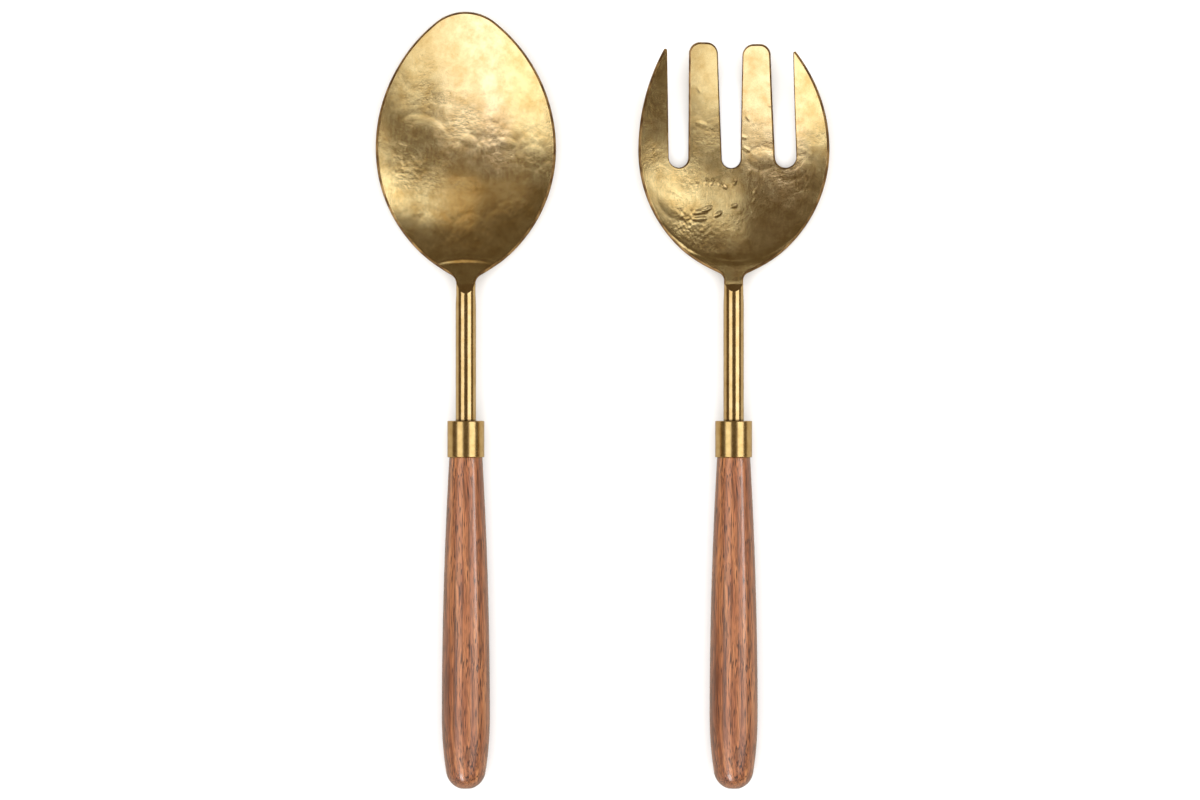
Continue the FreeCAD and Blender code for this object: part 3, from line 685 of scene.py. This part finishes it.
def turned(name, server, profile, columns, material):
    """A profile of (radius, along) points turned round the server's axis: x = r cos t, z = r sin t."""
    x, z, butt, _ = server_origin(server)
    turn = np.linspace(0, 2 * math.pi, columns + 1)
    radius, along = profile[:, :1], profile[:, 1:]
    grid = np.stack([x + radius * np.cos(turn), butt + along + 0 * turn, z + radius * np.sin(turn)], axis=-1)
    return solid(name, server, [grid], [material])


def turned_brass(server):
    """Lathe-turned brass: fine rings round the piece that blur what it mirrors along its length only, and
    painted shade: dark brown round the cap's hole, where the cap meets the stem."""
    material, output = new_material(f"turned_brass_{server}")
    x, z, butt, _ = server_origin(server)
    place = add(material, "TexCoord")
    mm = add(material, "Mapping", {"Vector": place.outputs["Object"], "Scale": (1000, 1000, 1000),
                                   "Location": (-x, -butt - HANDLE_LENGTH, -z)})
    round_it = add(material, "Mapping", {"Vector": mm.outputs[0], "Scale": (0.06, 1, 0.06)})
    rings = add(material, "TexNoise", {"Vector": round_it.outputs[0], "Scale": 1 / 0.3, "Detail": 3})
    rough = add(material, "MapRange", {"Value": rings.outputs[0], "To Min": 0.16, "To Max": 0.3})
    tarnish = add(material, "TexNoise", {"Vector": mm.outputs[0], "Scale": 1 / 3, "Detail": 4})
    tone = add(material, "ValToRGB", {"Fac": tarnish.outputs[0]})
    tone.color_ramp.elements[0].position, tone.color_ramp.elements[1].position = 0.3, 0.65
    tone.color_ramp.elements[0].color = linear("#dab676")
    tone.color_ramp.elements[1].color = linear("#f0cf90")
    # Painted shade: dark brown within 4.3 mm of the axis, fading out by 5 mm, round the cap's hole where the
    # stem meets the cap.
    axis = add(material, "Mapping", {"Vector": mm.outputs[0], "Scale": (1, 0, 1)})
    out = add(material, "VectorMath", {0: axis.outputs[0]}, operation="LENGTH")
    corner = add(material, "MapRange", {"Value": out.outputs["Value"], "From Min": 4.3, "From Max": 5.0})
    painted_shade_mix = add(material, "Mix", {"Factor": corner.outputs[0], "A": linear("#4a3216"), "B": tone.outputs[0]},
                 data_type="RGBA")
    bump = add(material, "Bump", {"Height": rings.outputs[0], "Strength": 0.35, "Distance": 0.02 * MM})
    metal = add(
        material, "BsdfPrincipled",
        {"Base Color": painted_shade_mix.outputs["Result"], "Metallic": 1.0, "Roughness": rough.outputs[0],
         "Normal": bump.outputs[0]},
    )
    material.node_tree.links.new(metal.outputs[0], output.inputs[0])
    return material


cup_r, hole_r = TENON_R + FERRULE_FIT, STEM_R + FERRULE_FIT
ferrule_top = HANDLE_LENGTH + FERRULE_LENGTH
FERRULE_RUN = [
    (cup_r, HANDLE_LENGTH + 5, 0),
    (cup_r, HANDLE_LENGTH, 0.1),
    (FERRULE_R, HANDLE_LENGTH, 0.4),
    (FERRULE_R, ferrule_top, 0.45),
    (hole_r, ferrule_top, 0.25),
    (hole_r, ferrule_top - FERRULE_CAP, 0.1),
    (cup_r, ferrule_top - FERRULE_CAP, 0.1),
    (cup_r, HANDLE_LENGTH + 5, 0),
]
for server in ("spoon", "fork"):
    ferrule = turned(f"{server}_collar", server, rounded_run(FERRULE_RUN), 128, turned_brass(server))
    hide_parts(f"{server}_ferrule")


# ---------------------------------------------------------------------------------------------------------
# The handles: each is turned from one piece of red-brown hardwood to a long belly and a round nose, bored
# for the tang, sanded and rubbed with satin varnish. The last of the lathe's centre is sanded to a flat.
# ---------------------------------------------------------------------------------------------------------

BELLY_R, BELLY_AT, NECK_R, NOSE_R, BUTT_R = 9.45, 28.0, 6.5, 7.8, 2.5
BORE_R, BORE_DEPTH, DRILL_POINT = 3.4, 66.0, 2.0


def handle_profile():
    """The handle's outline (radius, along): the butt's flat, a nose arc, an end arc and a long side arc that
    are tangent to each other, then the tenon, and the bore back down to its drilled point."""
    nose_at = math.sqrt(NOSE_R**2 - BUTT_R**2)
    run, shank, taper = BELLY_AT - nose_at, HANDLE_LENGTH - BELLY_AT, BELLY_R - NECK_R
    end_radius = (run**2 + BELLY_R**2 - NOSE_R**2) / (2 * (BELLY_R - NOSE_R))
    side_radius = (shank**2 + taper**2) / (2 * taper)
    meet = math.degrees(math.atan2(-run, end_radius - BELLY_R))
    nose = arc((0, nose_at), NOSE_R, math.degrees(math.atan2(-nose_at, BUTT_R)), meet, 24)
    end = arc((BELLY_R - end_radius, BELLY_AT), end_radius, meet, 0, 40)
    side_turn = math.degrees(math.asin(shank / side_radius))
    side = arc((BELLY_R - side_radius, BELLY_AT), side_radius, 0, side_turn, 110)
    tenon = rounded_run([
        (side[-2, 0], side[-2, 1], 0),
        (NECK_R, HANDLE_LENGTH, 0.3),
        (TENON_R, HANDLE_LENGTH, 0),
        (TENON_R, SHOULDER_AT, 0.5),
        (BORE_R, SHOULDER_AT, 0),
        (BORE_R, SHOULDER_AT - BORE_DEPTH, 0),
        (0, SHOULDER_AT - BORE_DEPTH - DRILL_POINT, 0),
    ])
    return np.concatenate([[(0, 0), (BUTT_R / 2, 0)], nose, end[1:], side[1:-2], tenon])


def varnished_wood(server):
    """Red-brown hardwood under satin varnish: long wandering streaks, and short dark pores along the grain
    that the varnish doesn't quite fill. The varnish gives broad soft highlights."""
    material, output = new_material(f"varnished_wood_{server}")
    x, z, butt, _ = server_origin(server)
    place = add(material, "TexCoord")
    mm = add(material, "Mapping", {"Vector": place.outputs["Object"], "Scale": (1000, 1000, 1000),
                                   "Location": (-x, -butt, -z)})
    sway = add(material, "TexNoise", {"Vector": mm.outputs[0], "Scale": 1 / 26, "Detail": 2})
    shift = add(material, "VectorMath", {0: sway.outputs["Color"], 1: (2.6, 0, 2.6)}, operation="MULTIPLY")
    grain = add(material, "VectorMath", {0: mm.outputs[0], 1: shift.outputs[0]}, operation="ADD")
    long_way = add(material, "Mapping", {"Vector": grain.outputs[0], "Scale": (1, 0.04, 1)})
    short_way = add(material, "Mapping", {"Vector": grain.outputs[0], "Scale": (1, 0.05, 1)})
    streaks = add(material, "TexNoise", {"Vector": long_way.outputs[0], "Scale": 1 / 2.6, "Detail": 5,
                                         "Roughness": 0.62})
    tone = add(material, "ValToRGB", {"Fac": streaks.outputs[0]})
    ramp = tone.color_ramp
    ramp.elements[0].position, ramp.elements[1].position = 0.3, 0.7
    ramp.elements[0].color, ramp.elements[1].color = linear("#58301b"), linear("#b07548")
    for position, code in ((0.42, "#824b2c"), (0.52, "#985d37")):
        ramp.elements.new(position).color = linear(code)
    fibres = add(material, "TexNoise", {"Vector": long_way.outputs[0], "Scale": 1 / 0.4, "Detail": 2})
    fibre_tone = add(material, "MapRange", {"Value": fibres.outputs[0], "From Min": 0.35, "From Max": 0.65,
                                            "To Min": 0.66, "To Max": 1.2})
    ring_way = add(material, "Mapping", {"Vector": grain.outputs[0], "Scale": (1, 0.014, 1)})
    rings = add(material, "TexNoise", {"Vector": ring_way.outputs[0], "Scale": 1 / 1.1, "Detail": 2})
    ring_tone = add(material, "MapRange", {"Value": rings.outputs[0], "From Min": 0.56, "From Max": 0.64,
                                           "To Min": 1.0, "To Max": 0.62})
    fibred = add(material, "VectorMath", {0: tone.outputs[0], 1: fibre_tone.outputs[0]}, operation="MULTIPLY")
    shaded = add(
        material, "VectorMath", {0: fibred.outputs[0], 1: ring_tone.outputs[0]}, operation="MULTIPLY"
    )
    pores = add(material, "TexNoise", {"Vector": short_way.outputs[0], "Scale": 1 / 0.33, "Detail": 1})
    crowd = add(material, "TexNoise", {"Vector": long_way.outputs[0], "Scale": 1 / 3.5, "Detail": 1})
    both = add(material, "Math", {0: crowd.outputs[0], 1: 0.3, 2: pores.outputs[0]}, operation="MULTIPLY_ADD")
    pore = add(material, "MapRange", {"Value": both.outputs[0], "From Min": 0.7, "From Max": 0.8})
    colour = add(material, "Mix", {"Factor": pore.outputs[0], "A": shaded.outputs[0], "B": linear("#3e2214")},
                 data_type="RGBA")
    rough = add(material, "MapRange", {"Value": fibres.outputs[0], "To Min": 0.4, "To Max": 0.55})
    sunk = add(material, "Bump", {"Height": pore.outputs[0], "Strength": 0.5, "Distance": -0.06 * MM})
    wood = add(
        material, "BsdfPrincipled",
        {"Base Color": colour.outputs["Result"], "Roughness": rough.outputs[0], "Normal": sunk.outputs[0],
         "Coat Weight": 1.0, "Coat Roughness": 0.16},
    )
    material.node_tree.links.new(wood.outputs[0], output.inputs[0])
    return material


for server in ("spoon", "fork"):
    handle = turned(f"{server}_grip", server, handle_profile(), 128, varnished_wood(server))
    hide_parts(f"{server}_handle")


# ---------------------------------------------------------------------------------------------------------
# The braze and the glue: a fillet of brass filler holds each head to its stem, under the neck, and amber
# epoxy holds each tang in its bore. Both keep their CAD shapes.
# ---------------------------------------------------------------------------------------------------------


def filler_brass():
    """Filler metal as it froze: paler than the sheet, smooth and slightly lumpy, with brown flux stains."""
    material, output = new_material("filler_brass")
    place = add(material, "TexCoord")
    mm = add(material, "Mapping", {"Vector": place.outputs["Object"], "Scale": (1000, 1000, 1000)})
    lumps = add(material, "TexNoise", {"Vector": mm.outputs[0], "Scale": 1 / 1.5, "Detail": 3})
    tone = add(material, "ValToRGB", {"Fac": lumps.outputs[0]})
    tone.color_ramp.elements[0].position, tone.color_ramp.elements[1].position = 0.35, 0.6
    tone.color_ramp.elements[0].color = linear("#8f6c3a")
    tone.color_ramp.elements[1].color = linear("#e2c27e")
    bump = add(material, "Bump", {"Height": lumps.outputs[0], "Strength": 0.4, "Distance": 0.1 * MM})
    metal = add(
        material, "BsdfPrincipled",
        {"Base Color": tone.outputs[0], "Metallic": 1.0, "Roughness": 0.36, "Normal": bump.outputs[0]},
    )
    material.node_tree.links.new(metal.outputs[0], output.inputs[0])
    return material


def epoxy():
    """Amber epoxy, cloudy with small bubbles and smooth where it has set against the bore."""
    material, output = new_material("amber_epoxy")
    place = add(material, "TexCoord")
    mm = add(material, "Mapping", {"Vector": place.outputs["Object"], "Scale": (1000, 1000, 1000)})
    cloud = add(material, "TexNoise", {"Vector": mm.outputs[0], "Scale": 1 / 2, "Detail": 3})
    tone = add(material, "ValToRGB", {"Fac": cloud.outputs[0]})
    tone.color_ramp.elements[0].color = linear("#8a6230")
    tone.color_ramp.elements[1].color = linear("#c79a56")
    bump = add(material, "Bump", {"Height": cloud.outputs[0], "Strength": 0.2, "Distance": 0.05 * MM})
    resin = add(material, "BsdfPrincipled", {"Base Color": tone.outputs[0], "Roughness": 0.25, "IOR": 1.55,
                                             "Normal": bump.outputs[0]})
    material.node_tree.links.new(resin.outputs[0], output.inputs[0])
    return material


for kind, material in (("braze", filler_brass()), ("tang_glue", epoxy())):
    for server in ("spoon", "fork"):
        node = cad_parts[f"{server}_{kind}"]
        node.data.materials.clear()
        node.data.materials.append(material)


# ---------------------------------------------------------------------------------------------------------
# The stage: white paper in a dim brown room. Level softboxes, strips and low cards each show only in the
# reflections of the pieces that they are linked to. One large lamp, kept out of the reflections, fills the
# paper and the wood.
# ---------------------------------------------------------------------------------------------------------


def level_sheet(name, height, colour):
    """A large level square of one matt material."""
    mesh = bpy.data.meshes.new(name)
    corners = [(-3, -3, height), (3, -3, height), (3, 3, height), (-3, 3, height)]
    mesh.from_pydata(corners, [], [(0, 1, 2, 3)])
    sheet = bpy.data.objects.new(name, mesh)
    bpy.context.scene.collection.objects.link(sheet)
    material, output = new_material(f"{name}_paper")
    matt = add(material, "BsdfPrincipled", {"Base Color": linear(colour), "Roughness": 0.85})
    material.node_tree.links.new(matt.outputs[0], output.inputs[0])
    mesh.materials.append(material)
    return sheet


# The brass mirrors a greyer sheet than the camera sees, as if the white one had been exposed to pure white.
floor, mirrored_floor = level_sheet("floor", 0, "#f4f4f4"), level_sheet("mirrored_floor", -0.0004, "#beb8ae")
floor.visible_glossy = floor.visible_shadow = False
mirrored_floor.visible_camera = mirrored_floor.visible_diffuse = mirrored_floor.visible_shadow = False


def area_lamp(name, width, length, radiance, colour, place):
    """A rectangular lamp that the camera doesn't see. Its power is four times its area times its radiance."""
    data = bpy.data.lights.new(name, "AREA")
    data.shape, data.size, data.size_y = "RECTANGLE", width, length
    data.energy, data.color = 4 * width * length * radiance, linear(colour)[:3]
    lamp = bpy.data.objects.new(name, data)
    lamp.location = place
    lamp.visible_camera = False
    bpy.context.scene.collection.objects.link(lamp)
    return lamp


def mirrored_only(lamp, pieces):
    """Keeps a lamp to the reflections in the given pieces."""
    lamp.visible_diffuse = False
    lit = bpy.data.collections.new(f"{lamp.name}_pieces")
    for piece in pieces:
        lit.objects.link(piece)
    lamp.light_linking.receiver_collection = lit


def softbox(name, left, right, near, far, radiance, colour, pieces):
    """A level light, between two places across and two along, for the reflections in the given pieces."""
    place = ((left + right) / 2, (near + far) / 2, BOX_HEIGHT)
    mirrored_only(area_lamp(name, right - left, far - near, radiance, colour, place), pieces)


BOX_HEIGHT = 0.4
NEUTRAL, PALE, COOL, WARM = "#ffffff", "#f0f0ff", "#e8e6ff", "#ffe6c0"
HEADS = {"spoon": spoon_head, "fork": fork_head}
for server, near_edge, main_edge, side_start, side_end in (
    ("spoon", -0.02, 0.036, 0.065, 0.215), ("fork", 0.02, 0.064, 0.085, 0.185)
):
    head = [HEADS[server]]
    softbox(f"{server}_main_softbox", -0.7, -0.25, -0.45, 0.045, 1.15, NEUTRAL, head)
    softbox(f"{server}_upper_softbox", -0.25, -0.12, -0.45, main_edge, 1.65, COOL, head)
    softbox(f"{server}_middle_softbox", -0.12, 0.03, -0.45, main_edge - 0.006, 1.3, PALE, head)
    softbox(f"{server}_front_softbox", 0.03, 0.22, -0.45, near_edge, 0.85, NEUTRAL, head)
    softbox(f"{server}_far_front_softbox", 0.22, 0.36, -0.45, near_edge - 0.03, 0.65, NEUTRAL, head)
    softbox(f"{server}_side_softbox", 0.3, 0.42, 0.09, side_end, 1.35, NEUTRAL, head)
    softbox(f"{server}_middle_side_softbox", 0.19, 0.3, 0.115, side_end, 1.25, NEUTRAL, head)
    softbox(f"{server}_near_side_softbox", 0.03, 0.19, 0.125, side_end, 0.8, NEUTRAL, head)
    softbox(f"{server}_far_side_softbox", 0.42, 0.75, side_start, 0.18, 1.1, NEUTRAL, head)
softbox("near_dim_softbox", -0.1, 0.03, 0.125, 0.22, 0.45, WARM, [spoon_head])
softbox("far_dim_softbox", -0.36, -0.1, 0.13, 0.19, 0.2, WARM, [spoon_head])
softbox("low_dim_softbox", 0.36, 0.75, -0.02, 0.065, 0.2, WARM, [spoon_head])
for server in ("spoon", "fork"):
    turned_pieces = [bpy.data.objects[f"{server}_{name}"] for name in ("stem_rod", "collar", "grip")]
    turned_pieces.append(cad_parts[f"{server}_braze"])
    x = server_origin(server)[0] * MM
    softbox(f"{server}_left_strip", x - 0.52, x - 0.125, -0.35, 0.15, 0.95, NEUTRAL, turned_pieces)
    grip = turned_pieces[2:3]
    softbox(f"{server}_window", x + 0.42, x + 0.66, -0.1, 0.06, 5.0, NEUTRAL, grip)
    softbox(f"{server}_low_window", x - 0.32, x - 0.12, -1.0, -0.3, 7.0, NEUTRAL, grip)
    softbox(f"{server}_right_strip", x + 0.165, x + 0.72, -0.35, 0.15, 1.1, NEUTRAL, turned_pieces)

# Four upright cards stand low round the pair, so that the heads mirror something pale from the sides too.
CARD_AWAY, CARD_WIDTH, CARD_HEIGHT, CARD_FOOT, CARD_RADIANCE = 1.6, 2.6, 0.46, 0.02, 1.1
for number in range(4):
    turn = number * math.pi / 2
    place = (-CARD_AWAY * math.sin(turn), CARD_AWAY * math.cos(turn), CARD_HEIGHT / 2 + CARD_FOOT)
    card = area_lamp(f"card_{number}", CARD_WIDTH, CARD_HEIGHT, CARD_RADIANCE, NEUTRAL, place)
    card.rotation_euler = (-math.pi / 2, 0, turn)
    mirrored_only(card, HEADS.values())

FILL_SIZE, FILL_RADIANCE, FILL_PLACE = 4.5, 1.85, (-0.1, -0.1, 1.7)
area_lamp("fill_lamp", FILL_SIZE, FILL_SIZE, FILL_RADIANCE, NEUTRAL, FILL_PLACE).visible_glossy = False

world = bpy.data.worlds.new("studio")
world.use_nodes = True
nodes, links = world.node_tree.nodes, world.node_tree.links
room = nodes["Background"]
room.inputs[0].default_value, room.inputs[1].default_value = linear("#5c4f3d"), 1.0
backdrop = nodes.new("ShaderNodeBackground")
backdrop.inputs[0].default_value, backdrop.inputs[1].default_value = linear("#f0f0f0"), 1.0
path, choice = nodes.new("ShaderNodeLightPath"), nodes.new("ShaderNodeMixShader")
links.new(path.outputs["Is Camera Ray"], choice.inputs[0])
links.new(room.outputs[0], choice.inputs[1])
links.new(backdrop.outputs[0], choice.inputs[2])
links.new(choice.outputs[0], nodes["World Output"].inputs[0])
bpy.context.scene.world = world
bpy.context.scene.view_settings.view_transform = "Standard"

# The camera looks straight down on the pair with a long lens. The view's width is at the stems' height.
SENSOR, CAMERA_HEIGHT, VIEW_WIDTH, VIEW_MIDDLE, STEMS_HEIGHT = 36, 1.6, 0.4716, -0.00095, 0.009
camera_data = bpy.data.cameras.new("camera")
camera_data.sensor_width = SENSOR
camera_data.lens = SENSOR * CAMERA_HEIGHT / VIEW_WIDTH
camera = bpy.data.objects.new("camera", camera_data)
camera.location = (VIEW_MIDDLE, 0, CAMERA_HEIGHT + STEMS_HEIGHT)
bpy.context.scene.collection.objects.link(camera)
bpy.context.scene.camera = camera
